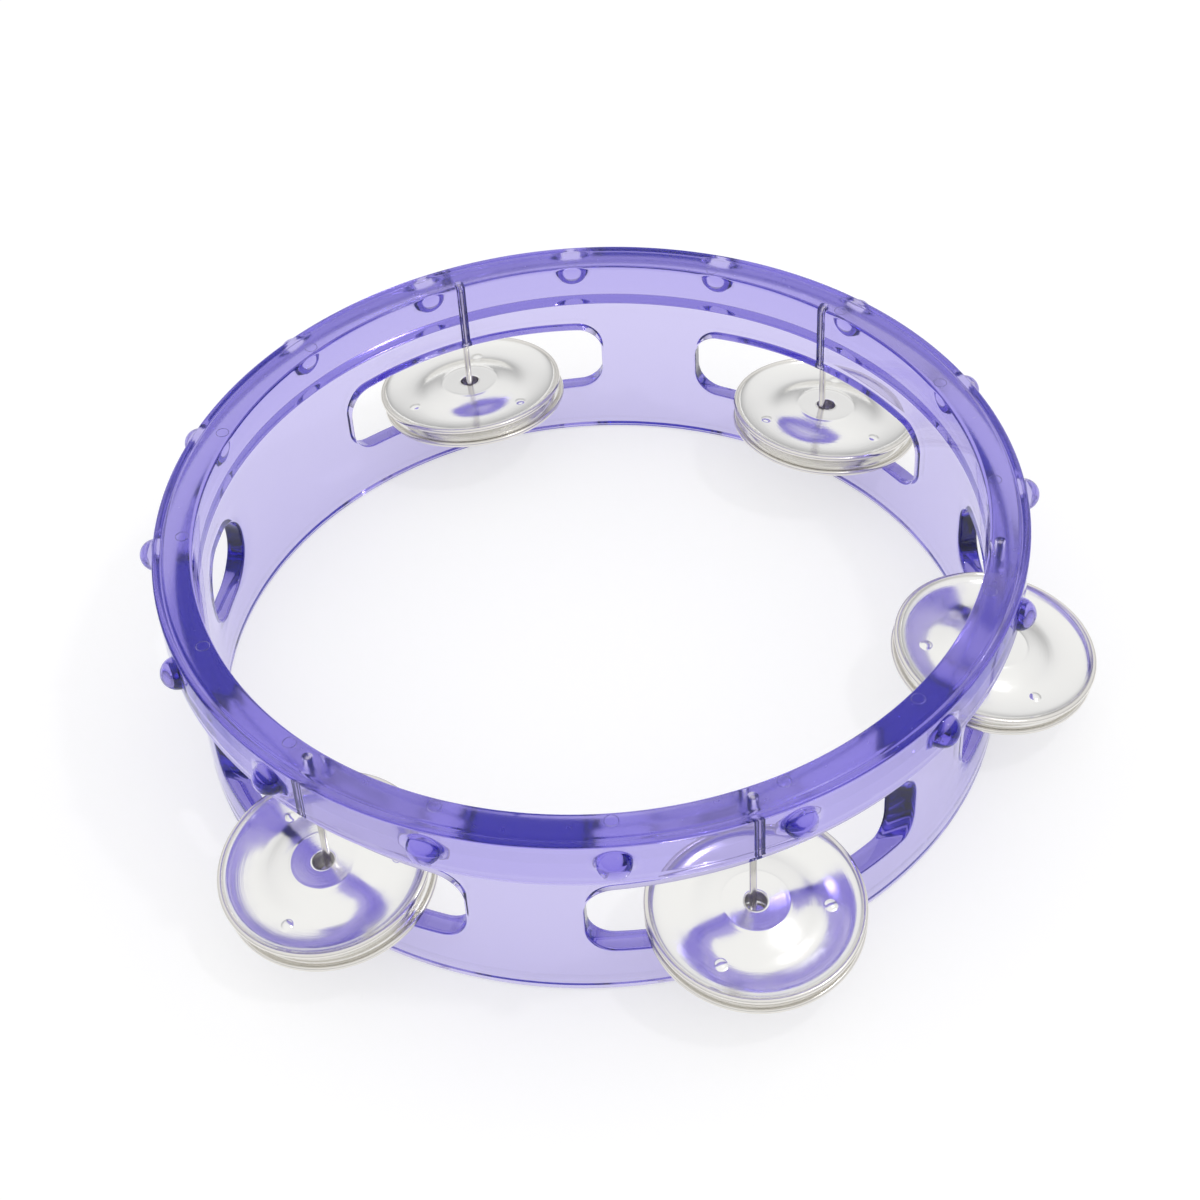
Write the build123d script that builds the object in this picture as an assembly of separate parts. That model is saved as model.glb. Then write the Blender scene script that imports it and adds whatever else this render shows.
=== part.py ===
from build123d import *
import math
import os

# Headless tambourine: a translucent moulded ring with a studded top hoop, five
# jingle slots with a pin and two loose discs each, and one finger hole.
# Millimetres, +Z up. The origin is on the ring's axis, on its bottom plane.
# The finger hole is centred on -X and the first jingle slot on +X.

# --- ring wall ---
RING_HEIGHT = 40.2
RING_INNER_R = 68.1
WALL_T = 3.65
BOTTOM_EDGE_R = 0.9
TOP_EDGE_R = 0.7

# --- top hoop and its studs ---
HOOP_WALL_T = 3.25
HOOP_HEIGHT = 9.3
HOOP_EDGE_R = 0.5
STUD_COUNT = 16
STUD_R = 2.85
STUD_DROP = 3.4
STUD_PHASE = 11.9
STUD_ROOT = 0.4

# --- places round the ring ---
PLACES = 6
PLACE_STEP = 360 / PLACES
FINGER_HOLE_ANGLE = 180
JINGLE_PLACES = {
    "right": 0 * PLACE_STEP,
    "rear_right": 1 * PLACE_STEP,
    "rear_left": 2 * PLACE_STEP,
    "front_left": 4 * PLACE_STEP,
    "front_right": 5 * PLACE_STEP,
}

# --- jingle slots ---
SLOT_FLOOR_Z = 10.2
SLOT_HEIGHT = 15.5
SLOT_SIDE_ROOM = 8.47
SLOT_CORNER_R = 5.5
SLOT_END_DRAFT = 3.0
SPLAYED_END_ROOM = 2.1
SPLAYED_END_DRAFT = 44.0
SLOT_FLOOR_DRAFT = 8.7
SLOT_EDGE_R = 0.45

# the two front slots open wider at the end that is turned away from -Y
SPLAYED_END = {"front_left": -1, "front_right": 1}

# --- finger hole ---
FINGER_FLOOR_Z = 10.2
FINGER_HEIGHT = 15.5
FINGER_HALF_WIDTH = 9.49
FINGER_CORNER_R = 7.2
FINGER_DRAFT = 5.0

# --- jingle pins ---
PIN_R = 0.6
PIN_BLIND_DEPTH = 6.0
PIN_TOP_RECESS = 1.5
CHANNEL_CLEARANCE = 0.28
CHANNEL_MOUTH_FLARE = 0.25

# --- jingle discs ---
DISC_R = 17.95
DISC_SHEET_T = 0.35
DISC_HOLE_PLAY = 1.2
BOSS_R = 5.5
BOSS_PROUD = 0.3
RIM_HEIGHT = 2.0
BEAD_R = 0.5
RIM_TO_GUTTER = 4.55
SHOULDER_R = 9.6
SHOULDER_SHARE = 0.45
BEAD_JOIN_OUTER = -125
BEAD_JOIN_INNER = 160
DOT_COUNT = 3
RIM_TO_DOTS = 5.85
DOT_R = 1.0
DOT_PROUD = 0.36
DISC_GAP = 0.12
PIN_SIDE_GAP = 0.2

# how each loose disc happens to lie: its turn on the pin and its sideways shift
UPPER_TURN = {"right": 69, "rear_right": 25, "rear_left": 96, "front_left": 11, "front_right": 70}
LOWER_TURN = {"right": 12, "rear_right": 83, "rear_left": 40, "front_left": 64, "front_right": 101}
UPPER_SHIFT = {"right": 0.0, "rear_right": -0.3, "rear_left": -0.3, "front_left": 0.0, "front_right": 0.1}
LOWER_SHIFT = {"right": 0.4, "rear_right": -0.5, "rear_left": -0.8, "front_left": 0.8, "front_right": 0.3}

# --- ejector-pin witness marks on the top face ---
MARK_R = 1.25
MARK_DEPTH = 0.12

# --- sizes that follow from the ones above ---
RING_OUTER_R = RING_INNER_R + WALL_T
WALL_MID_R = RING_INNER_R + WALL_T / 2
HOOP_OUTER_R = RING_OUTER_R + HOOP_WALL_T
HOOP_FLOOR_Z = RING_HEIGHT - HOOP_HEIGHT
SLOT_HALF_WIDTH = DISC_R + SLOT_SIDE_ROOM
DISC_HOLE_R = PIN_R + DISC_HOLE_PLAY
GUTTER_R = DISC_R - RIM_TO_GUTTER
DOT_RING_R = DISC_R - RIM_TO_DOTS
DISC_HEIGHT = RIM_HEIGHT + BOSS_PROUD
STACK_HEIGHT = 2 * (DISC_GAP + DISC_HEIGHT)
LEAN = math.radians(SLOT_FLOOR_DRAFT)
HOLE_REACH = DISC_HOLE_R * math.cos(LEAN) - STACK_HEIGHT * math.sin(LEAN)
DISC_SLIDE_OUT = HOLE_REACH - PIN_R - PIN_SIDE_GAP
CUT_OVERRUN = 4.0


def turned(shape, angle):
    """The shape, turned about the ring's axis."""
    return Rot(0, 0, angle) * shape


def band(inner_r, outer_r, floor_z, height):
    """A plain ring of rectangular section."""
    tube = Cylinder(outer_r, height) - Cylinder(inner_r, height + 2)
    return Pos(0, 0, floor_z + height / 2) * tube


def end_reach(x, mid_y, draft):
    """How far to the side a drafted end lies at a distance x from the ring's axis."""
    half_angle = math.asin(mid_y / WALL_MID_R)
    mid_x = WALL_MID_R * math.cos(half_angle)
    return mid_y + (x - mid_x) * math.tan(half_angle + math.radians(draft))


def rounded_end_cutter(low_end, high_end, floor_z, height, corner_r, floor_draft):
    """A rounded opening through the wall on +X, which widens towards the outside."""
    floor_slope = math.tan(math.radians(floor_draft))
    faces = []
    for x in (WALL_MID_R * 0.9 - CUT_OVERRUN, RING_OUTER_R + CUT_OVERRUN):
        low = end_reach(x, *low_end)
        high = end_reach(x, *high_end)
        tall = height + 2 * (x - WALL_MID_R) * floor_slope
        centre = (x, (high - low) / 2, floor_z + height / 2)
        plane = Plane(origin=centre, x_dir=(0, 1, 0), z_dir=(1, 0, 0))
        faces.append(plane * RectangleRounded(low + high, tall, corner_r * tall / height))
    return loft(Sketch() + faces, ruled=True)


def jingle_slot_cutter(splayed):
    """One jingle slot; splayed is -1 or 1 for the side of a wider end, or 0."""
    plain = (SLOT_HALF_WIDTH, SLOT_END_DRAFT)
    wide = (SLOT_HALF_WIDTH + SPLAYED_END_ROOM, SPLAYED_END_DRAFT)
    low_end = wide if splayed < 0 else plain
    high_end = wide if splayed > 0 else plain
    return rounded_end_cutter(
        low_end, high_end, SLOT_FLOOR_Z, SLOT_HEIGHT, SLOT_CORNER_R, SLOT_FLOOR_DRAFT
    )


def finger_hole_cutter():
    end = (FINGER_HALF_WIDTH, FINGER_DRAFT)
    return rounded_end_cutter(
        end, end, FINGER_FLOOR_Z, FINGER_HEIGHT, FINGER_CORNER_R, FINGER_DRAFT
    )


def pin_bore_cutter():
    """Blind seat under the slot, clearance channel above it and its flared mouth."""
    seat_z = SLOT_FLOOR_Z - PIN_BLIND_DEPTH
    channel_r = PIN_R + CHANNEL_CLEARANCE
    channel_z = SLOT_FLOOR_Z + SLOT_HEIGHT / 2
    mouth_r = channel_r + CHANNEL_MOUTH_FLARE
    profile = Polyline(
        (0, seat_z),
        (PIN_R, seat_z),
        (PIN_R, channel_z),
        (channel_r, channel_z),
        (channel_r, RING_HEIGHT - CHANNEL_MOUTH_FLARE),
        (mouth_r, RING_HEIGHT),
        (mouth_r, RING_HEIGHT + CUT_OVERRUN),
        (0, RING_HEIGHT + CUT_OVERRUN),
        close=True,
    )
    bore = revolve(Plane.XZ * make_face(profile), Axis.Z, 360)
    return Pos(WALL_MID_R, 0, 0) * bore


def slot_edges(ring):
    """Edges of the openings: those that lie on the wall's two faces, off its ends."""
    rim = []
    for edge in ring.edges():
        box = edge.bounding_box()
        inside = box.min.Z > BOTTOM_EDGE_R and box.max.Z < HOOP_FLOOR_Z
        far = [math.hypot(p.X, p.Y) for p in (edge @ 0, edge @ 0.5, edge @ 1)]
        on_outer = all(abs(r - RING_OUTER_R) < 0.01 for r in far)
        on_inner = all(abs(r - RING_INNER_R) < 0.01 for r in far)
        if inside and (on_outer or on_inner):
            rim.append(edge)
    return rim


def frame_ring():
    """The ring wall with its six openings, before any small holes."""
    ring = band(RING_INNER_R, RING_OUTER_R, 0, RING_HEIGHT)
    bottom = ring.edges().filter_by(GeomType.CIRCLE).group_by(Axis.Z)[0]
    ring = fillet(bottom, BOTTOM_EDGE_R)
    top = ring.edges().filter_by(GeomType.CIRCLE).group_by(Axis.Z)[-1]
    ring = fillet(top.sort_by(SortBy.RADIUS)[0], TOP_EDGE_R)
    for place, angle in JINGLE_PLACES.items():
        ring -= turned(jingle_slot_cutter(SPLAYED_END.get(place, 0)), angle)
    ring -= turned(finger_hole_cutter(), FINGER_HOLE_ANGLE)
    ring = fillet(slot_edges(ring), SLOT_EDGE_R)
    for angle in JINGLE_PLACES.values():
        ring -= turned(pin_bore_cutter(), angle)
    for index in range(STUD_COUNT):
        angle = STUD_PHASE + index * 360 / STUD_COUNT
        mark = Pos(WALL_MID_R, 0, RING_HEIGHT) * Cylinder(MARK_R, 2 * MARK_DEPTH)
        ring -= turned(mark, angle)
    return ring


def top_hoop():
    """The hoop round the top of the wall, with its half-round studs."""
    hoop = band(RING_OUTER_R, HOOP_OUTER_R, HOOP_FLOOR_Z, HOOP_HEIGHT)
    circles = hoop.edges().filter_by(GeomType.CIRCLE)
    outer = [e for e in circles if abs(e.radius - HOOP_OUTER_R) < 0.01]
    hoop = fillet(outer, HOOP_EDGE_R)
    for index in range(STUD_COUNT):
        angle = STUD_PHASE + index * 360 / STUD_COUNT
        ball = Sphere(STUD_R) - Pos(-STUD_R - STUD_ROOT, 0, 0) * Box(2 * STUD_R, 3 * STUD_R, 3 * STUD_R)
        stud = Pos(HOOP_OUTER_R, 0, RING_HEIGHT - STUD_DROP) * ball
        hoop += turned(stud, angle)
    return hoop


def jingle_pin():
    """One plain wire pin, from its blind seat to just under the top face."""
    floor_z = SLOT_FLOOR_Z - PIN_BLIND_DEPTH
    length = RING_HEIGHT - PIN_TOP_RECESS - floor_z
    wire = Cylinder(PIN_R, length, align=(Align.CENTER, Align.CENTER, Align.MIN))
    wire = chamfer(wire.edges().filter_by(GeomType.CIRCLE), PIN_R / 4)
    return Pos(WALL_MID_R, 0, floor_z) * wire


def disc_section():
    """Half section of one pressed disc: boss, shoulder, gutter and rolled bead."""
    boss_z = DISC_HEIGHT
    gutter_z = DISC_SHEET_T
    shoulder_z = gutter_z + (boss_z - gutter_z) * SHOULDER_SHARE
    bead_x = DISC_R - BEAD_R
    bead_z = RIM_HEIGHT - BEAD_R

    def on_bead(angle):
        turn = math.radians(angle)
        return (bead_x + BEAD_R * math.cos(turn), bead_z + BEAD_R * math.sin(turn))

    outer_join = on_bead(BEAD_JOIN_OUTER)
    inner_join = on_bead(BEAD_JOIN_INNER)
    level = (1, 0)
    back_z = boss_z - DISC_SHEET_T
    shoulder = (SHOULDER_R, shoulder_z)
    under_shoulder = (SHOULDER_R, shoulder_z - DISC_SHEET_T)
    gutter = (GUTTER_R, gutter_z)
    under_gutter = (GUTTER_R, 0)
    outline = Line((DISC_HOLE_R, boss_z), (BOSS_R, boss_z))
    outline += Spline((BOSS_R, boss_z), shoulder, gutter, tangents=[level, level])
    outline += Spline(gutter, inner_join, tangents=[level, (0.5, 1)])
    outline += ThreePointArc(inner_join, on_bead(0), outer_join)
    outline += Spline(under_gutter, outer_join, tangents=[level, (1, 0.6)])
    outline += Spline((BOSS_R, back_z), under_shoulder, under_gutter, tangents=[level, level])
    outline += Line((BOSS_R, back_z), (DISC_HOLE_R, back_z))
    outline += Line((DISC_HOLE_R, back_z), (DISC_HOLE_R, boss_z))
    return Plane.XZ * make_face(outline)


def pressed_disc():
    """One jingle disc on the Z axis, hollow side up, its back on the XY plane."""
    disc = revolve(disc_section(), Axis.Z, 360)
    for index in range(DOT_COUNT):
        ball_z = DISC_SHEET_T + DOT_PROUD - DOT_R
        dot = Pos(DOT_RING_R, 0, ball_z) * Sphere(DOT_R)
        floor = Pos(DOT_RING_R, 0, DISC_SHEET_T / 2) * Box(3 * DOT_R, 3 * DOT_R, 4 * DOT_R)
        dot &= Pos(0, 0, 2 * DOT_R) * floor
        disc += turned(dot, index * 360 / DOT_COUNT)
    return disc


def seated(disc, shift):
    """Leans a disc outwards with the drafted slot floor, and slides it to where it lies."""
    leaning = Rot(0, SLOT_FLOOR_DRAFT, 0) * Pos(DISC_SLIDE_OUT, shift, 0) * disc
    return Pos(WALL_MID_R, 0, SLOT_FLOOR_Z) * leaning


def lower_disc(turn, shift):
    """The disc that rests on the slot floor, hollow side down."""
    back_z = DISC_GAP + DISC_HEIGHT
    return seated(Pos(0, 0, back_z) * Rot(180, 0, turn) * pressed_disc(), shift)


def upper_disc(turn, shift):
    """The disc that lies back to back on the lower one, hollow side up."""
    back_z = STACK_HEIGHT - DISC_HEIGHT
    return seated(Pos(0, 0, back_z) * Rot(0, 0, turn) * pressed_disc(), shift)


def write(shape, node):
    export_step(shape, f"parts/{node}.step")
    print(f"{node:28s} {shape.volume:10.1f} mm3")


os.makedirs("parts", exist_ok=True)
write(frame_ring(), "frame_ring")
write(top_hoop(), "top_hoop")
for place, angle in JINGLE_PLACES.items():
    write(turned(jingle_pin(), angle), f"jingle_pin_{place}")
    lower = lower_disc(LOWER_TURN[place], LOWER_SHIFT[place])
    write(turned(lower, angle), f"lower_disc_{place}")
    upper = upper_disc(UPPER_TURN[place], UPPER_SHIFT[place])
    write(turned(upper, angle), f"upper_disc_{place}")
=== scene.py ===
# %% [markdown]
# A headless tambourine for a small hand: a clear violet plastic ring with a studded hoop
# round its top, five long slots with two loose steel discs on a wire pin in each, and one
# finger hole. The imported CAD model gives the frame, the bodies and nearly every size. This
# lesson builds each piece again as a finer mesh with its finish, and lets it ride on the
# same CAD body. In a few places the mesh leaves the CAD: the studs sit 0.5 mm lower, the
# hoop's underside slopes, and the discs' gutter lies further in.

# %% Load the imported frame
import math

import bmesh
import bpy
import numpy as np
from mathutils import Matrix, Vector


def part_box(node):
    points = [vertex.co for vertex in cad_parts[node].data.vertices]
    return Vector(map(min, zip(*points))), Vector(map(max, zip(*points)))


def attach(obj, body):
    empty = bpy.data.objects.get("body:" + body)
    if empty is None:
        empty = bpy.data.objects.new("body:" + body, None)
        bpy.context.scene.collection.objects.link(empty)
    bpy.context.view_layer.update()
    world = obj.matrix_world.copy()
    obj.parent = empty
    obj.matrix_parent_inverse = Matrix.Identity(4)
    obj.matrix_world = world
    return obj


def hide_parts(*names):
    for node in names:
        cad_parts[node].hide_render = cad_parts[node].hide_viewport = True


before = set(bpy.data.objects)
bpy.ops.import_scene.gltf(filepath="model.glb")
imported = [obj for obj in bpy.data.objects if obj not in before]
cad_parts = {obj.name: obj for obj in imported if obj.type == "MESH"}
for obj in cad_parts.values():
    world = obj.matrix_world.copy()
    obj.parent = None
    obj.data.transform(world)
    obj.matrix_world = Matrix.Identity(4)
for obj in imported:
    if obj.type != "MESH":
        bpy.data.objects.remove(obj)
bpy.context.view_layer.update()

MM = 0.001

# %% [markdown]
# The sizes that several steps share are given here in millimetres: the wall and the hoop,
# the studs, the height of the openings, the slope of their floors, and the pins. Two of
# them are printed beside the CAD nodes' own boxes. What belongs to one step only, such as
# the disc's section, is given with that step.

# %% Shared sizes of the ring, the openings and the pins
WALL_IN, WALL_OUT, RING_TALL = 68.1, 71.75, 40.2
WALL_MID = (WALL_IN + WALL_OUT) / 2
HOOP_OUT, HOOP_FLOOR = 75.0, 30.9
STUDS, STUD_R, STUD_Z, STUD_PHASE = 16, 2.85, 36.3, 11.9
OPENING_FLOOR, OPENING_TALL = 10.2, 15.5
FLOOR_DRAFT = 8.7
LEAN = math.radians(FLOOR_DRAFT)
PIN_R, PIN_FOOT, PIN_TOP = 0.6, 4.2, 38.7
JINGLE_PLACES = {"right": 0, "rear_right": 60, "rear_left": 120,
                 "front_left": 240, "front_right": 300}
ring_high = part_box("frame_ring")[1]
hoop_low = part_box("top_hoop")[0]
print("ring radius", WALL_OUT, "and in the CAD", round(ring_high.x / MM, 2))
print("hoop floor", HOOP_FLOOR, "and in the CAD", round(hoop_low.z / MM, 2))

# %% [markdown]
# Every piece below is a list of points and faces worked out in numbers. One small helper
# turns such lists into a mesh object: it welds points that meet, points the faces
# outwards, and smooths the shading, which clear plastic and plated steel both need.

# %% A helper that makes a mesh object
WELD_WITHIN = 2e-6


def new_piece(name, points, faces, flip=False):
    mesh = bpy.data.meshes.new(name)
    mesh.from_pydata([tuple(p) for p in np.asarray(points) * MM], [], faces)
    shape = bmesh.new()
    shape.from_mesh(mesh)
    bmesh.ops.remove_doubles(shape, verts=shape.verts, dist=WELD_WITHIN)
    bmesh.ops.recalc_face_normals(shape, faces=shape.faces)
    if flip:
        bmesh.ops.reverse_faces(shape, faces=shape.faces)
    shape.to_mesh(mesh)
    open_edges = sum(1 for e in shape.edges if not e.is_manifold)
    shape.free()
    mesh.shade_smooth()
    piece = bpy.data.objects.new(name, mesh)
    bpy.context.scene.collection.objects.link(piece)
    print(name, len(mesh.polygons), "faces,", open_edges, "open edges")
    return piece


def skin(loops, start=0):
    """Quads between closed loops of the same length, one after the other."""
    count = len(loops[0])
    faces = []
    for row in range(len(loops) - 1):
        for i in range(count):
            j = (i + 1) % count
            a, b = start + row * count, start + (row + 1) * count
            faces.append((a + i, a + j, b + j, b + i))
    return faces


def on_cylinder(radius, angle, z):
    angle, z = np.broadcast_arrays(angle, z)
    return np.stack([radius * np.cos(angle), radius * np.sin(angle), z], axis=1)

# %% [markdown]
# A slot is a rounded rectangle that opens outwards, because the mould's cores pull out that
# way. One tour of its outline is kept as shares of its width, height and corner radius, so
# that the same tour can be placed at any depth in the curved wall. Each end of an opening
# has its own half width in millimetres and its own draft in degrees: the two front slots
# have one end that is splayed much wider than the others.

# %% The outline of an opening, at any depth in the wall
ARC_STEPS, LONG_STEPS, SHORT_STEPS = 8, 48, 6
SETTLING_ROUNDS = 60


def outline_tour():
    rows = []
    corners = [(1, 1), (-1, 1), (-1, -1), (1, -1)]
    for turn, (sx, sz) in enumerate(corners):
        nx, nz = corners[(turn + 1) % 4]
        first = 45 + 90 * turn
        for i in range(ARC_STEPS):
            a = math.radians(first + 45 * i / ARC_STEPS)
            rows.append((sx, math.cos(a), sz, math.sin(a)))
        steps = LONG_STEPS if sz == nz else SHORT_STEPS
        a = math.radians(first + 45)
        for i in range(steps):
            t = i / steps
            rows.append((sx + (nx - sx) * t, math.cos(a), sz + (nz - sz) * t, math.sin(a)))
        for i in range(ARC_STEPS):
            a = math.radians(first + 45 + 45 * i / ARC_STEPS)
            rows.append((nx, math.cos(a), nz, math.sin(a)))
    return np.array(rows).T


SHARE_X, ARC_X, SHARE_Z, ARC_Z = outline_tour()
PLAIN_END, SPLAYED_END, HOLE_END = (26.42, 3.0), (28.52, 44.0), (9.49, 5.0)
SLOT_CORNER, HOLE_CORNER = 5.5, 7.2
SLOT = dict(ends=(PLAIN_END, PLAIN_END), corner=SLOT_CORNER, draft=FLOOR_DRAFT)
FRONT_LEFT_SLOT = dict(ends=(SPLAYED_END, PLAIN_END), corner=SLOT_CORNER, draft=FLOOR_DRAFT)
FRONT_RIGHT_SLOT = dict(ends=(PLAIN_END, SPLAYED_END), corner=SLOT_CORNER, draft=FLOOR_DRAFT)
FINGER_HOLE = dict(ends=(HOLE_END, HOLE_END), corner=HOLE_CORNER, draft=HOLE_END[1])
OPENINGS = [SLOT, SLOT, SLOT, FINGER_HOLE, FRONT_LEFT_SLOT, FRONT_RIGHT_SLOT]


def end_reach(x, half_width, end_draft):
    """How far to the side a drafted end lies at the distance x from the ring's axis."""
    half = math.asin(half_width / WALL_MID)
    slope = math.tan(half + math.radians(end_draft))
    return half_width + (x - WALL_MID * math.cos(half)) * slope


def opening_edge(opening, radius):
    """Angle and height of the outline where it meets the cylinder of this radius."""
    x = np.full(len(SHARE_X), float(radius))
    for _ in range(SETTLING_ROUNDS):
        tall = OPENING_TALL + 2 * (x - WALL_MID) * math.tan(math.radians(opening["draft"]))
        corner = opening["corner"] * tall / OPENING_TALL
        low, high = (end_reach(x, *end) for end in opening["ends"])
        y = (high - low) / 2 + SHARE_X * ((high + low) / 2 - corner) + ARC_X * corner
        x = 0.5 * x + 0.5 * np.sqrt(radius ** 2 - y ** 2)
    z = OPENING_FLOOR + OPENING_TALL / 2 + SHARE_Z * (tall / 2 - corner) + ARC_Z * corner
    return np.arctan2(y, x), z


def grown(radius, angle, z, by):
    """The outline moved outwards along the wall's surface by a distance."""
    across = radius * angle
    da = np.roll(across, -1) - np.roll(across, 1)
    dz = np.roll(z, -1) - np.roll(z, 1)
    long = np.hypot(da, dz)
    return (across + by * dz / long) / radius, z - by * da / long

# %% [markdown]
# The wall is made in six patches of sixty degrees, each with one opening. Rows of points run
# from the patch's border on the outer face to the opening, round its small fillet, through
# the wall, round the inner fillet and out to the border on the inner face. A boolean cut
# would leave long thin triangles, and clear plastic shows every one of them as a crease.

# %% The wall patches
FILLET = 0.45
FACE_ROWS, THROUGH_ROWS = 8, 6
OUTER_CROWDING, INNER_CROWDING = 0.8, 1.25
SIDE_STEPS = 2 * ARC_STEPS + SHORT_STEPS
TOP_STEPS = 2 * ARC_STEPS + LONG_STEPS
SECTOR = math.radians(30)


def patch_border(low, high):
    top = np.linspace(SECTOR, -SECTOR, TOP_STEPS, endpoint=False)
    side = np.linspace(high, low, SIDE_STEPS, endpoint=False)
    edge, level = np.full(SIDE_STEPS, SECTOR), np.ones(TOP_STEPS)
    angle = np.concatenate([top, -edge, -top, edge])
    z = np.concatenate([level * high, side, level * low, low + high - side])
    return angle, z


def wall_patch(opening, outer_top, inner_top, low):
    loops = []
    fillet_turns = np.radians([90, 72, 54, 36, 18, 0])
    outer_border = patch_border(low, outer_top)
    outer_rim = grown(WALL_OUT, *opening_edge(opening, WALL_OUT), FILLET)
    for t in np.linspace(0, 1, FACE_ROWS, endpoint=False) ** OUTER_CROWDING:
        loops.append((WALL_OUT, *[b + (r - b) * t for b, r in zip(outer_border, outer_rim)]))
    for turn in fillet_turns:
        r = WALL_OUT - FILLET * (1 - math.sin(turn))
        loops.append((r, *grown(r, *opening_edge(opening, r), FILLET * (1 - math.cos(turn)))))
    for r in np.linspace(WALL_OUT - FILLET, WALL_IN + FILLET, THROUGH_ROWS)[1:-1]:
        loops.append((r, *opening_edge(opening, r)))
    for turn in fillet_turns[::-1]:
        r = WALL_IN + FILLET * (1 - math.sin(turn))
        loops.append((r, *grown(r, *opening_edge(opening, r), FILLET * (1 - math.cos(turn)))))
    inner_border = patch_border(low, inner_top)
    inner_rim = grown(WALL_IN, *opening_edge(opening, WALL_IN), FILLET)
    for t in 1 - np.linspace(1, 0, FACE_ROWS + 1)[1:] ** INNER_CROWDING:
        loops.append((WALL_IN, *[r + (b - r) * t for b, r in zip(inner_border, inner_rim)]))
    return loops

# %% [markdown]
# The thick hoop round the top is one skin with the wall, so light runs on from one into the
# other. Sixteen half-round studs grow out of it: its outer face is again made in patches,
# with rows that climb from the face over each stud to its crown.

# %% The stud patches
HOOP_EDGE, HOOP_LINE = 0.5, 32.9
stud_sector = math.pi / STUDS
STUD_SIDE, STUD_TOP = 12, 24
stud_tour = 2 * (STUD_SIDE + STUD_TOP)
STUD_FACE_ROWS = 7
STUD_CLIMB = np.radians([0, 8, 18, 29, 40, 51, 61, 70, 78, 84, 88.5])
TOWARD_SHARE, EVEN_SHARE = 0.45, 0.55


def stud_border():
    low, high = HOOP_LINE, RING_TALL - HOOP_EDGE
    top = np.linspace(stud_sector, -stud_sector, STUD_TOP, endpoint=False)
    side = np.linspace(high, low, STUD_SIDE, endpoint=False)
    edge, level = np.full(STUD_SIDE, stud_sector), np.ones(STUD_TOP)
    angle = np.concatenate([top, -edge, -top, edge])
    z = np.concatenate([level * high, side, level * low, low + high - side])
    return angle, z


def turn_about_axis(points, degrees):
    a = math.radians(degrees)
    x, y, z = np.asarray(points, float).T
    along, across = x * math.cos(a) - y * math.sin(a), x * math.sin(a) + y * math.cos(a)
    return np.stack([along, across, z], axis=1)


border_angle, border_z = stud_border()
toward = np.unwrap(np.arctan2(border_z - STUD_Z, HOOP_OUT * border_angle))
even = np.linspace(0, 2 * math.pi, stud_tour, endpoint=False) + toward[0]
tour_turn = TOWARD_SHARE * toward + EVEN_SHARE * even
stud_loops = []
root_angle = STUD_R * np.cos(tour_turn) / HOOP_OUT
root_z = STUD_Z + STUD_R * np.sin(tour_turn)
for t in np.linspace(0, 1, STUD_FACE_ROWS, endpoint=False):
    a = border_angle + (root_angle - border_angle) * t
    z = border_z + (root_z - border_z) * t
    stud_loops.append(on_cylinder(HOOP_OUT, a, z))
for climb in STUD_CLIMB:
    flat = STUD_R * math.cos(climb)
    y, z = flat * np.cos(tour_turn), STUD_Z + flat * np.sin(tour_turn)
    x = np.sqrt(HOOP_OUT ** 2 - y ** 2) + STUD_R * math.sin(climb)
    stud_loops.append(np.stack([x, y, z], axis=1))
stud_loops.append(np.tile([[HOOP_OUT + STUD_R, 0, STUD_Z]], (stud_tour, 1)))

# %% [markdown]
# Three turned strips close the ring: the hoop's sloping underside and its lower edge, the
# top face with its shallow groove, and the foot. The columns of points round the wall and
# round the studs are equal in number, and lie less than half a step apart, so the first two
# strips turn a little as they go across, and the ring is one closed skin.

# %% The turned strips and the whole ring
FOOT_EDGE, TOP_EDGE, CORNER = 0.9, 0.7, 0.15
HOOP_ROOT, UNDER_SLOPE = 29.9, 20
HOOP_SIDE, SIDE_ROWS = HOOP_OUT - 0.07, (32.0, 32.7)
GROOVE = [(73.84, RING_TALL), (73.76, 40.12), (73.5, 40.1), (73.24, 40.12), (73.16, RING_TALL)]
STILL_BEFORE, STILL_AFTER = 3, 5
COLUMNS = len(OPENINGS) * TOP_STEPS
wall_columns = np.radians(np.arange(COLUMNS) * 360 / COLUMNS + 30)
stud_start = STUD_PHASE + 180 / STUDS
columns_between = round((30 - stud_start) * COLUMNS / 360)
stud_columns = np.radians((np.arange(COLUMNS) + columns_between) * 360 / COLUMNS + stud_start)


def arc(cx, cz, radius, first, last, steps):
    turns = np.radians(np.linspace(first, last, steps + 1))
    return [(cx + radius * math.cos(t), cz + radius * math.sin(t)) for t in turns]


lip = arc(HOOP_SIDE - HOOP_EDGE, HOOP_FLOOR + HOOP_EDGE, HOOP_EDGE, 270 + UNDER_SLOPE, 360, 6)
under_strip = arc(WALL_OUT + CORNER, HOOP_ROOT - CORNER, CORNER, 180, 90 + UNDER_SLOPE, 3)
under_strip += [tuple(p) for p in np.linspace(under_strip[-1], lip[0], 8)[1:-1]] + lip
under_strip += [(HOOP_SIDE, z) for z in SIDE_ROWS] + [(HOOP_OUT, HOOP_LINE)]
top_strip = arc(HOOP_OUT - HOOP_EDGE, RING_TALL - HOOP_EDGE, HOOP_EDGE, 0, 90, 6)
top_strip += [(74.2, RING_TALL)] + GROOVE
top_strip += [(r, RING_TALL) for r in np.linspace(72.8, WALL_IN + TOP_EDGE + 0.3, 7)]
top_strip += arc(WALL_IN + TOP_EDGE, RING_TALL - TOP_EDGE, TOP_EDGE, 90, 180, 8)
foot_strip = arc(WALL_OUT - FOOT_EDGE, FOOT_EDGE, FOOT_EDGE, 0, -90, 8)
flat_foot = np.linspace(WALL_OUT - FOOT_EDGE - 0.3, WALL_IN + FOOT_EDGE + 0.3, 4)
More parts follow.
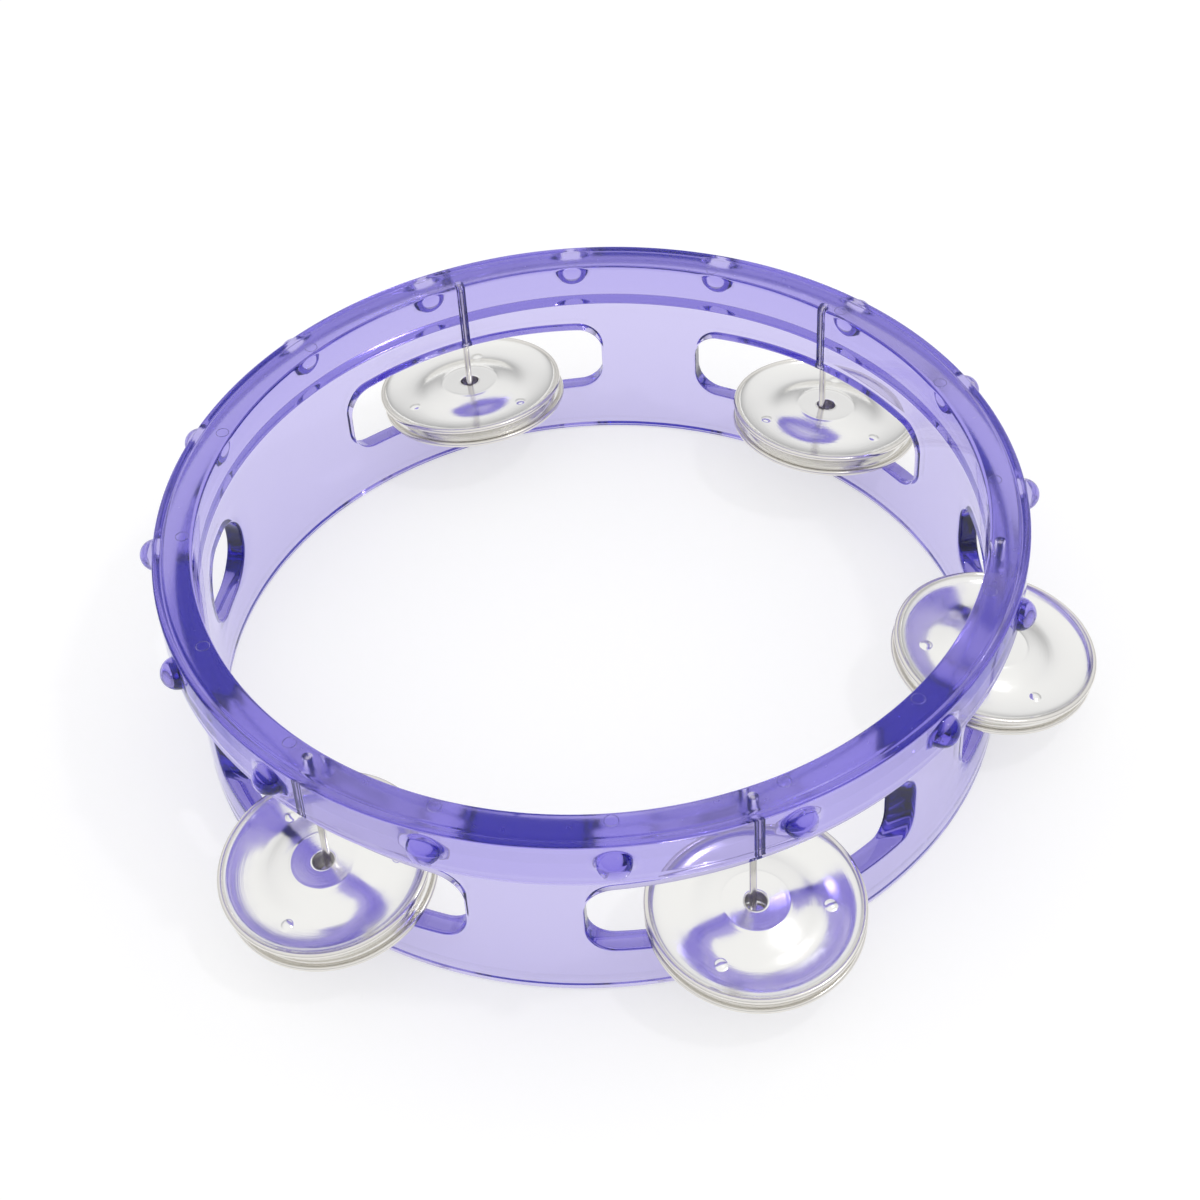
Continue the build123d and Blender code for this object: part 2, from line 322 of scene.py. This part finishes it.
foot_strip += [(r, 0) for r in flat_foot]
foot_strip += arc(WALL_IN + FOOT_EDGE, FOOT_EDGE, FOOT_EDGE, -90, -180, 8)

ring_points, ring_faces = [], []
for place, opening in enumerate(OPENINGS):
    patch = wall_patch(opening, HOOP_ROOT - CORNER, RING_TALL - TOP_EDGE, FOOT_EDGE)
    ring_faces += skin([loop[1] for loop in patch], start=len(ring_points))
    for r, angle, z in patch:
        ring_points += list(on_cylinder(r, angle + math.radians(60 * place), z))
for stud in range(STUDS):
    ring_faces += skin(stud_loops, start=len(ring_points))
    for loop in stud_loops:
        ring_points += list(turn_about_axis(loop, STUD_PHASE + stud * 360 / STUDS))
strips = [(under_strip, wall_columns, stud_columns), (top_strip, stud_columns, wall_columns),
          (foot_strip, wall_columns, wall_columns)]
for strip, first, last in strips:
    ring_faces += skin([first] * len(strip), start=len(ring_points))
    for row, (r, z) in enumerate(strip):
        share = (row - STILL_BEFORE) / (len(strip) - STILL_BEFORE - STILL_AFTER)
        share = min(max(share, 0), 1)
        ring_points += list(on_cylinder(r, first + (last - first) * share, z))
violet_ring = new_piece("violet_ring", ring_points, ring_faces)

# %% [markdown]
# Above each slot the pin stands in a wider channel moulded into the wall. Air in plastic is
# a second surface seen from inside, so the channel is a closed skin whose faces point
# inwards, joined to the wall's own mesh. Its bottom end is flared, and reads as a dark spot.
# Its top end tapers, and closes 0.9 mm under the top face. The round ejector marks are made
# in the same way, as thin rings of air just under the top face, one beside each stud.

# %% The pin channels inside the wall
CHANNEL_R, CHANNEL_FLARE = 0.88, 0.3
CHANNEL_SIDES, MARK_SIDES = 48, 32
POLE_R = 1e-4
ceiling = OPENING_FLOOR + OPENING_TALL


def turned_skin(section, steps, centre_x=0.0):
    """A section turned once round an upright axis that crosses the X axis."""
    turns = np.radians(np.arange(steps) * 360 / steps)
    points, faces = [], skin([turns] * len(section))
    for r, z in section:
        ring = on_cylinder(max(r, POLE_R), turns, z)
        ring[:, 0] += centre_x
        points += list(ring)
    return points, faces


def cavities(name, section, sides, angles):
    """The same hollow at several angles in the middle of the wall, as one inward skin."""
    points, faces = [], []
    for angle in angles:
        hollow_points, hollow_faces = turned_skin(section, sides, WALL_MID)
        faces += [tuple(i + len(points) for i in face) for face in hollow_faces]
        points += list(turn_about_axis(hollow_points, angle))
    return new_piece(name, points, faces, flip=True)


channel_section = [(0, ceiling + 0.03), (CHANNEL_R + CHANNEL_FLARE, ceiling + 0.03),
                   (CHANNEL_R + 0.1, ceiling + 0.45), (CHANNEL_R, ceiling + 0.9),
                   (CHANNEL_R, RING_TALL - 1.2), (CHANNEL_R - 0.25, RING_TALL - 0.95),
                   (0, RING_TALL - 0.9)]
channels = cavities("pin_channels", channel_section, CHANNEL_SIDES, JINGLE_PLACES.values())

# %% The round ejector marks on the top face
MARK_R, MARK_WIDE = 1.2, 0.14
MARK_LOW, MARK_HIGH = 40.1, 40.17
mark_section = [(MARK_R, MARK_LOW), (MARK_R, MARK_HIGH), (MARK_R - MARK_WIDE, MARK_HIGH),
                (MARK_R - MARK_WIDE, MARK_LOW), (MARK_R, MARK_LOW)]
stud_angles = [STUD_PHASE + stud * 360 / STUDS for stud in range(STUDS)]
marks = cavities("ejector_marks", mark_section, MARK_SIDES, stud_angles)


def join_into(target, extra):
    shape = bmesh.new()
    shape.from_mesh(target.data)
    shape.from_mesh(extra.data)
    shape.to_mesh(target.data)
    shape.free()
    bpy.data.objects.remove(extra)


join_into(violet_ring, channels)
join_into(violet_ring, marks)
print("ring with channels and marks", len(violet_ring.data.polygons), "faces")

# %% [markdown]
# A jingle disc is spun and pressed from thin plated sheet: a flat boss round a loose hole, a
# shoulder that slopes into a gutter, and a rim rolled into a bead. It is turned from its
# section. Three small dots are pressed up from below, so the rows and columns crowd
# together near them, which keeps the dots round without a fine mesh everywhere.

# %% The pressed section of a disc
DISC_R, SHEET, HOLE_R, BOSS_R, BEAD_R = 17.95, 0.35, 1.8, 5.5, 0.5
DISC_TALL, RIM_TALL = 2.3, 2.0
DOT_AT, DOT_R, DOT_UP, DOT_FULLNESS = 12.1, 1.0, 0.36, 0.7
DOT_ROWS_FROM, DOT_ROWS_TO = 11.0, 13.4
FINE_ROW, COARSE_ROW = 0.16, 0.4
SHEET_LEAN = 0.35
HOLE_EDGE = 0.04


def ease(points, tangents, spacing):
    """A smooth line through points with given slopes there, in steps of about a spacing."""
    line = []
    for (p, q), (m, n) in zip(zip(points, points[1:]), zip(tangents, tangents[1:])):
        wide = q[0] - p[0]
        steps = max(2, int(round(wide / spacing(0.5 * (p[0] + q[0])))))
        for i in range(steps):
            t = i / steps
            z = ((2 * t ** 3 - 3 * t ** 2 + 1) * p[1] + (t ** 3 - 2 * t ** 2 + t) * wide * m
                 + (-2 * t ** 3 + 3 * t ** 2) * q[1] + (t ** 3 - t ** 2) * wide * n)
            line.append((p[0] + wide * t, z))
    return line + [points[-1]]


def row_spacing(r):
    return FINE_ROW if DOT_ROWS_FROM < r < DOT_ROWS_TO else COARSE_ROW


bead_x, bead_z = DISC_R - BEAD_R, RIM_TALL - BEAD_R
top_points = [(BOSS_R + 0.12, 2.26), (7.4, 1.80), (9.4, 1.14), (10.7, 0.72), (12.2, 0.53),
              (14.0, 0.62), (15.6, 0.93), (16.98, 1.67)]
slopes = [-0.30, -0.28, -0.40, -0.24, -0.02, 0.12, 0.28, 0.9]
low_points = [(r + SHEET_LEAN * SHEET * m, z - SHEET) for (r, z), m in zip(top_points, slopes)]
low_points[-1] = (17.16, 1.09)
top_line = ease(top_points, slopes, row_spacing)
low_line = ease(low_points, slopes[:-1] + [0.6], row_spacing)
boss_under = DISC_TALL - SHEET
section = [(HOLE_R, boss_under), (HOLE_R, boss_under + HOLE_EDGE), (HOLE_R, DISC_TALL - HOLE_EDGE)]
section += [(r, DISC_TALL) for r in (HOLE_R, 2.2, 3.4, 4.6, 5.3)] + [(BOSS_R, DISC_TALL + 0.02)]
section += top_line
section += arc(bead_x, bead_z, BEAD_R, 160, -125, 16)[1:]
section += low_line[::-1][1:]
section += [(r, boss_under) for r in (BOSS_R, 4.6, 3.0)]
print("disc section", len(section), "points")

# %% The disc as a mesh, with its three dots and a little run-out
NEAR_DOT, FINE_TURN, COARSE_TURN = 6.0, 0.8, 2.4
DOT_ANGLES = (0, 120, 240)
OVAL, THREE_WAY = 0.05, 0.03


def disc_turns():
    """Columns round the disc, close together at each dot."""
    turns = []
    for dot in DOT_ANGLES:
        turns += list(dot + np.arange(-NEAR_DOT, NEAR_DOT, FINE_TURN))
        turns += list(dot + np.arange(NEAR_DOT, 120 - NEAR_DOT, COARSE_TURN))
    return np.radians(turns)


DISC_TURNS = disc_turns()


def pressed_disc(name, seed):
    chance = np.random.default_rng(seed)
    warp = chance.uniform(0, 2 * math.pi, 3)
    points = []
    for r, z in section:
        x, y = r * np.cos(DISC_TURNS), r * np.sin(DISC_TURNS)
        rise = np.zeros(len(DISC_TURNS))
        for dot in DOT_ANGLES:
            dx = x - DOT_AT * math.cos(math.radians(dot))
            dy = y - DOT_AT * math.sin(math.radians(dot))
            near = np.clip(1 - (dx * dx + dy * dy) / DOT_R ** 2, 0, 1)
            rise += DOT_UP * near ** DOT_FULLNESS
        waves = OVAL * np.sin(2 * DISC_TURNS + warp[0])
        waves += THREE_WAY * np.sin(3 * DISC_TURNS + warp[1])
        rise += (r / DISC_R) ** 2 * waves
        points += list(np.stack([x, y, z + rise], axis=1))
    faces = skin([DISC_TURNS] * (len(section) + 1))
    count = len(points)
    faces = [tuple(i % count for i in f) for f in faces]
    return new_piece(name, points, faces)

# %% [markdown]
# Each disc lies where its CAD node lies. It leans outwards with the sloping slot floor, it
# has slid out to the play of its hole, and each one has its own turn and sideways shift,
# because loose discs never settle alike. The lower one of a pair lies hollow side down.

# %% Lay the discs and stand the pins
HOLE_PLAY, SIDE_GAP, PAIR_TALL = 1.2, 0.2, 4.84
SLIDE_OUT = (PIN_R + HOLE_PLAY) * math.cos(LEAN) - PAIR_TALL * math.sin(LEAN) - PIN_R - SIDE_GAP
UPPER_LIFT, LOWER_LIFT = 2.54, 2.42
UPPER_SEED, LOWER_SEED = 100, 200
UPPER = {"right": (69, 0.0), "rear_right": (25, -0.3), "rear_left": (96, -0.3),
         "front_left": (11, 0.0), "front_right": (70, 0.1)}
LOWER = {"right": (12, 0.4), "rear_right": (83, -0.5), "rear_left": (40, -0.8),
         "front_left": (64, 0.8), "front_right": (101, 0.3)}


def seat(angle, lift, shift):
    """Where a disc lies: on the leaning floor of the slot at this angle."""
    place = Matrix.Rotation(math.radians(angle), 4, "Z")
    floor = Matrix.Translation(Vector((WALL_MID, 0, OPENING_FLOOR)) * MM)
    lean = Matrix.Rotation(LEAN, 4, "Y")
    return place @ floor @ lean @ Matrix.Translation(Vector((SLIDE_OUT, shift, lift)) * MM)


discs = []
for number, (place, angle) in enumerate(JINGLE_PLACES.items()):
    turn, shift = UPPER[place]
    upper = pressed_disc(f"bright_disc_upper_{place}", UPPER_SEED + number)
    spin = Matrix.Rotation(math.radians(turn), 4, "Z")
    upper.matrix_world = seat(angle, UPPER_LIFT, shift) @ spin
    turn, shift = LOWER[place]
    lower = pressed_disc(f"bright_disc_lower_{place}", LOWER_SEED + number)
    flip = Matrix.Rotation(math.pi, 4, "X") @ Matrix.Rotation(math.radians(turn), 4, "Z")
    lower.matrix_world = seat(angle, LOWER_LIFT, shift) @ flip
    discs.append((place, upper, lower))

FOOT_ROUND, TIP_ROUND, PIN_SIDES = 0.12, 0.2, 32
pin_section = ([(0, PIN_FOOT)]
               + arc(PIN_R - FOOT_ROUND, PIN_FOOT + FOOT_ROUND, FOOT_ROUND, -90, 0, 3)
               + [(PIN_R, z) for z in np.linspace(PIN_FOOT + 1, PIN_TOP - 1, 20)]
               + arc(PIN_R - TIP_ROUND, PIN_TOP - TIP_ROUND, TIP_ROUND, 0, 90, 4)
               + [(0, PIN_TOP)])
pins = {}
for place, angle in JINGLE_PLACES.items():
    points, faces = turned_skin(pin_section, PIN_SIDES)
    pin = new_piece(f"wire_pin_{place}", points, faces)
    pin.matrix_world = (Matrix.Rotation(math.radians(angle), 4, "Z")
                        @ Matrix.Translation(Vector((WALL_MID, 0, 0)) * MM))
    pins[place] = pin

# %% [markdown]
# Clear violet plastic gets its colour from depth. A thin wall looks pale lilac, and looking
# along the wall, through many centimetres of it, the same plastic is deep blue violet. So
# most of the colour comes from light absorbed in the volume, and the surface adds only a
# pale tint. It is polished, with the faint flow ripples and fine scratches of a moulded
# toy, and it is duller on the top face and very slightly duller on the studs.

# %% The clear violet plastic
TOP_FACE_Z, STUD_FACE_R = (0.03995, 0.04015), (0.0751, 0.0753)


def clear_plastic(name, density, ripple, top_matt, stud_matt):
    material = bpy.data.materials.new(name)
    material.use_nodes = True
    nodes, links = material.node_tree.nodes, material.node_tree.links
    shader = nodes["Principled BSDF"]
    shader.inputs["Base Color"].default_value = (0.86, 0.84, 0.95, 1)
    shader.inputs["IOR"].default_value = 1.52
    shader.inputs["Transmission Weight"].default_value = 1.0
    depth = nodes.new("ShaderNodeVolumeAbsorption")
    depth.inputs["Color"].default_value = (0.47, 0.39, 0.89, 1)
    depth.inputs["Density"].default_value = density
    links.new(depth.outputs[0], nodes["Material Output"].inputs["Volume"])
    place = nodes.new("ShaderNodeTexCoord")
    flow = nodes.new("ShaderNodeTexNoise")
    flow.inputs["Scale"].default_value = 55
    flow.inputs["Detail"].default_value = 2
    scratch = nodes.new("ShaderNodeTexNoise")
    scratch.inputs["Scale"].default_value = 900
    scratch.inputs["Detail"].default_value = 3
    stretch = nodes.new("ShaderNodeMapping")
    stretch.inputs["Scale"].default_value = (1, 1, 4)
    links.new(place.outputs["Object"], flow.inputs["Vector"])
    links.new(place.outputs["Object"], stretch.inputs["Vector"])
    links.new(stretch.outputs[0], scratch.inputs["Vector"])
    wear = nodes.new("ShaderNodeMapRange")
    wear.inputs["From Min"].default_value = 0.45
    wear.inputs["From Max"].default_value = 0.75
    wear.inputs["To Min"].default_value = 0.02
    wear.inputs["To Max"].default_value = 0.08
    links.new(scratch.outputs["Fac"], wear.inputs["Value"])
    split = nodes.new("ShaderNodeSeparateXYZ")
    links.new(place.outputs["Object"], split.inputs[0])
    level = nodes.new("ShaderNodeVectorMath")
    level.operation = "MULTIPLY"
    level.inputs[1].default_value = (1, 1, 0)
    links.new(place.outputs["Object"], level.inputs[0])
    radius = nodes.new("ShaderNodeVectorMath")
    radius.operation = "LENGTH"
    links.new(level.outputs[0], radius.inputs[0])
    matt = wear.outputs[0]
    for value, (start, stop), amount in ((split.outputs["Z"], TOP_FACE_Z, top_matt),
                                         (radius.outputs["Value"], STUD_FACE_R, stud_matt)):
        where = nodes.new("ShaderNodeMapRange")
        where.inputs["From Min"].default_value = start
        where.inputs["From Max"].default_value = stop
        where.inputs["To Max"].default_value = amount
        links.new(value, where.inputs["Value"])
        both = nodes.new("ShaderNodeMath")
        both.operation = "ADD"
        links.new(matt, both.inputs[0])
        links.new(where.outputs[0], both.inputs[1])
        matt = both.outputs[0]
    links.new(matt, shader.inputs["Roughness"])
    bump = nodes.new("ShaderNodeBump")
    bump.inputs["Strength"].default_value = ripple
    bump.inputs["Distance"].default_value = 0.0006
    links.new(flow.outputs["Fac"], bump.inputs["Height"])
    links.new(bump.outputs[0], shader.inputs["Normal"])
    return material


ring_plastic = clear_plastic("clear violet plastic", density=135.0, ripple=0.10,
                             top_matt=0.20, stud_matt=0.02)
violet_ring.data.materials.append(ring_plastic)

# %% [markdown]
# The discs are bright nickel over spun sheet: nearly a mirror, but fine rings left by the
# spinning smear each reflection, and the rolled rim, where the sheet was worked most, has
# gone dull and warm. Rings and rim follow the distance from the disc's own centre, which the
# object's coordinates give. A faint haze varies over the whole disc.

# %% Bright spun nickel
RIM_STARTS, RIM_IS_FULL = 0.0167, 0.0171


def spun_nickel(name):
    material = bpy.data.materials.new(name)
    material.use_nodes = True
    nodes, links = material.node_tree.nodes, material.node_tree.links
    shader = nodes["Principled BSDF"]
    shader.inputs["Metallic"].default_value = 1.0
    place = nodes.new("ShaderNodeTexCoord")
    flat = nodes.new("ShaderNodeVectorMath")
    flat.operation = "MULTIPLY"
    flat.inputs[1].default_value = (1, 1, 0)
    links.new(place.outputs["Object"], flat.inputs[0])
    distance = nodes.new("ShaderNodeVectorMath")
    distance.operation = "LENGTH"
    links.new(flat.outputs[0], distance.inputs[0])
    rings = nodes.new("ShaderNodeTexNoise")
    rings.noise_dimensions = "4D"
    rings.inputs["Scale"].default_value = 60
    rings.inputs["Detail"].default_value = 4
    stretch = nodes.new("ShaderNodeMath")
    stretch.operation = "MULTIPLY"
    stretch.inputs[1].default_value = 90
    links.new(distance.outputs["Value"], stretch.inputs[0])
    links.new(place.outputs["Object"], rings.inputs["Vector"])
    links.new(stretch.outputs[0], rings.inputs["W"])
    haze = nodes.new("ShaderNodeTexNoise")
    haze.inputs["Scale"].default_value = 260
    haze.inputs["Detail"].default_value = 5
    links.new(place.outputs["Object"], haze.inputs["Vector"])
    rim = nodes.new("ShaderNodeMapRange")
    rim.interpolation_type = "SMOOTHSTEP"
    rim.inputs["From Min"].default_value = RIM_STARTS
    rim.inputs["From Max"].default_value = RIM_IS_FULL
    links.new(distance.outputs["Value"], rim.inputs["Value"])
    tone = nodes.new("ShaderNodeMix")
    tone.data_type = "RGBA"
    tone.inputs["A"].default_value = (0.93, 0.925, 0.905, 1)
    tone.inputs["B"].default_value = (0.80, 0.78, 0.74, 1)
    links.new(rim.outputs[0], tone.inputs["Factor"])
    links.new(tone.outputs["Result"], shader.inputs["Base Color"])
    gloss = nodes.new("ShaderNodeMapRange")
    gloss.inputs["From Min"].default_value = 0.3
    gloss.inputs["From Max"].default_value = 0.7
    gloss.inputs["To Min"].default_value = 0.10
    gloss.inputs["To Max"].default_value = 0.20
    links.new(haze.outputs["Fac"], gloss.inputs["Value"])
    rough = nodes.new("ShaderNodeMath")
    rough.operation = "MULTIPLY_ADD"
    rough.inputs[1].default_value = 0.07
    links.new(rim.outputs[0], rough.inputs[0])
    links.new(gloss.outputs[0], rough.inputs[2])
    links.new(rough.outputs[0], shader.inputs["Roughness"])
    bump = nodes.new("ShaderNodeBump")
    bump.inputs["Strength"].default_value = 0.25
    bump.inputs["Distance"].default_value = 0.00006
    links.new(rings.outputs["Fac"], bump.inputs["Height"])
    links.new(bump.outputs[0], shader.inputs["Normal"])
    return material


disc_nickel = spun_nickel("bright spun nickel")
for place, upper, lower in discs:
    upper.data.materials.append(disc_nickel)
    lower.data.materials.append(disc_nickel)

# %% Drawn steel wire
def drawn_wire(name):
    material = bpy.data.materials.new(name)
    material.use_nodes = True
    nodes, links = material.node_tree.nodes, material.node_tree.links
    shader = nodes["Principled BSDF"]
    shader.inputs["Metallic"].default_value = 1.0
    place = nodes.new("ShaderNodeTexCoord")
    along = nodes.new("ShaderNodeMapping")
    along.inputs["Scale"].default_value = (1, 1, 0.05)
    lines = nodes.new("ShaderNodeTexNoise")
    lines.inputs["Scale"].default_value = 4000
    lines.inputs["Detail"].default_value = 3
    links.new(place.outputs["Object"], along.inputs["Vector"])
    links.new(along.outputs[0], lines.inputs["Vector"])
    tone = nodes.new("ShaderNodeMix")
    tone.data_type = "RGBA"
    tone.inputs["A"].default_value = (0.72, 0.70, 0.67, 1)
    tone.inputs["B"].default_value = (0.86, 0.84, 0.81, 1)
    links.new(lines.outputs["Fac"], tone.inputs["Factor"])
    links.new(tone.outputs["Result"], shader.inputs["Base Color"])
    shader.inputs["Roughness"].default_value = 0.2
    bump = nodes.new("ShaderNodeBump")
    bump.inputs["Strength"].default_value = 0.15
    bump.inputs["Distance"].default_value = 0.00003
    links.new(lines.outputs["Fac"], bump.inputs["Height"])
    links.new(bump.outputs[0], shader.inputs["Normal"])
    return material


pin_wire = drawn_wire("drawn steel wire")
for pin in pins.values():
    pin.data.materials.append(pin_wire)

# %% [markdown]
# The pieces take over from their CAD nodes. The one violet piece stands for two nodes, the
# ring and the hoop. It and the pins ride on the frame's body, and each disc rides on a body
# of its own, so that it can slide up its pin.

# %% Ride on the bodies and stand for the nodes
def stands_for(piece, body, node):
    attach(piece, body)
    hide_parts(node)


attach(violet_ring, "frame")
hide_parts("frame_ring", "top_hoop")
for place, pin in pins.items():
    stands_for(pin, "frame", f"jingle_pin_{place}")
for place, upper, lower in discs:
    stands_for(upper, f"upper_{place}", f"upper_disc_{place}")
    stands_for(lower, f"lower_{place}", f"lower_disc_{place}")

# %% [markdown]
# The studio is a plain white floor under one small lamp, high on the right, with a pale
# surround. The floor gives a little light of its own, so that it stays white. The surround
# is brightest overhead and darkest at the horizon, and gives the bright discs something to
# reflect.

# %% Floor and light
FLOOR_REACH, FLOOR_Z = 3.0, -0.0001


def studio_floor():
    mesh = bpy.data.meshes.new("studio_floor")
    corners = [(-1, -1), (1, -1), (1, 1), (-1, 1)]
    mesh.from_pydata([(x * FLOOR_REACH, y * FLOOR_REACH, FLOOR_Z) for x, y in corners],
                     [], [(0, 1, 2, 3)])
    floor = bpy.data.objects.new("studio_floor", mesh)
    bpy.context.scene.collection.objects.link(floor)
    material = bpy.data.materials.new("white studio paper")
    material.use_nodes = True
    shader = material.node_tree.nodes["Principled BSDF"]
    shader.inputs["Base Color"].default_value = (0.50, 0.50, 0.50, 1)
    shader.inputs["Roughness"].default_value = 0.9
    shader.inputs["Specular IOR Level"].default_value = 0.1
    shader.inputs["Emission Color"].default_value = (1, 1, 1, 1)
    shader.inputs["Emission Strength"].default_value = 0.57
    mesh.materials.append(material)
    return floor


studio_floor()


def square_lamp(name, place, aim, wide, watts):
    data = bpy.data.lights.new(name, "AREA")
    data.shape = "SQUARE"
    data.size = wide
    data.energy = watts
    lamp = bpy.data.objects.new(name, data)
    lamp.location = place
    lamp.rotation_euler = (Vector(aim) - Vector(place)).to_track_quat("-Z", "Y").to_euler()
    bpy.context.scene.collection.objects.link(lamp)


square_lamp("right softbox", place=(0.46, -0.04, 0.88), aim=(0, 0, 0), wide=0.065, watts=0.8)

world = bpy.data.worlds.new("pale studio surround")
bpy.context.scene.world = world
world.use_nodes = True
sky_nodes, sky_links = world.node_tree.nodes, world.node_tree.links
way = sky_nodes.new("ShaderNodeTexCoord")
parts = sky_nodes.new("ShaderNodeSeparateXYZ")
sky_links.new(way.outputs["Generated"], parts.inputs[0])
fade = sky_nodes.new("ShaderNodeValToRGB")
fade.color_ramp.elements[0].position = 0.0
fade.color_ramp.elements[0].color = (0.40, 0.40, 0.41, 1)
fade.color_ramp.elements[1].position = 0.85
fade.color_ramp.elements[1].color = (1.0, 1.0, 1.0, 1)
middle = fade.color_ramp.elements.new(0.45)
middle.color = (0.90, 0.90, 0.91, 1)
sky_links.new(parts.outputs["Z"], fade.inputs[0])
sky_links.new(fade.outputs[0], sky_nodes["Background"].inputs["Color"])
sky_nodes["Background"].inputs["Strength"].default_value = 0.95

# %% [markdown]
# The camera looks down at forty five degrees from the front, a little to the right of the
# ring's middle, through a moderately long lens, and leans very slightly.

# %% Camera and colour
CAMERA_PLACE = (61.78, -297.30, 318.15)
TURN_RIGHT, LOOK_DOWN, ROLL = math.radians(11.574), 0.7798, -0.0658
MOST_BOUNCES = 24
camera_data = bpy.data.cameras.new("product camera")
camera_data.lens = 71.93
camera_data.sensor_width = 36
camera_data.clip_end = 20
camera = bpy.data.objects.new("product camera", camera_data)
camera.matrix_world = (Matrix.Translation(Vector(CAMERA_PLACE) * MM)
                       @ Matrix.Rotation(TURN_RIGHT, 4, "Z")
                       @ Matrix.Rotation(math.radians(90) - LOOK_DOWN, 4, "X")
                       @ Matrix.Rotation(ROLL, 4, "Z"))
bpy.context.scene.collection.objects.link(camera)
bpy.context.scene.camera = camera
bpy.context.scene.view_settings.view_transform = "Standard"
bpy.context.scene.cycles.max_bounces = MOST_BOUNCES
bpy.context.scene.cycles.transmission_bounces = MOST_BOUNCES
bpy.context.scene.cycles.glossy_bounces = 16
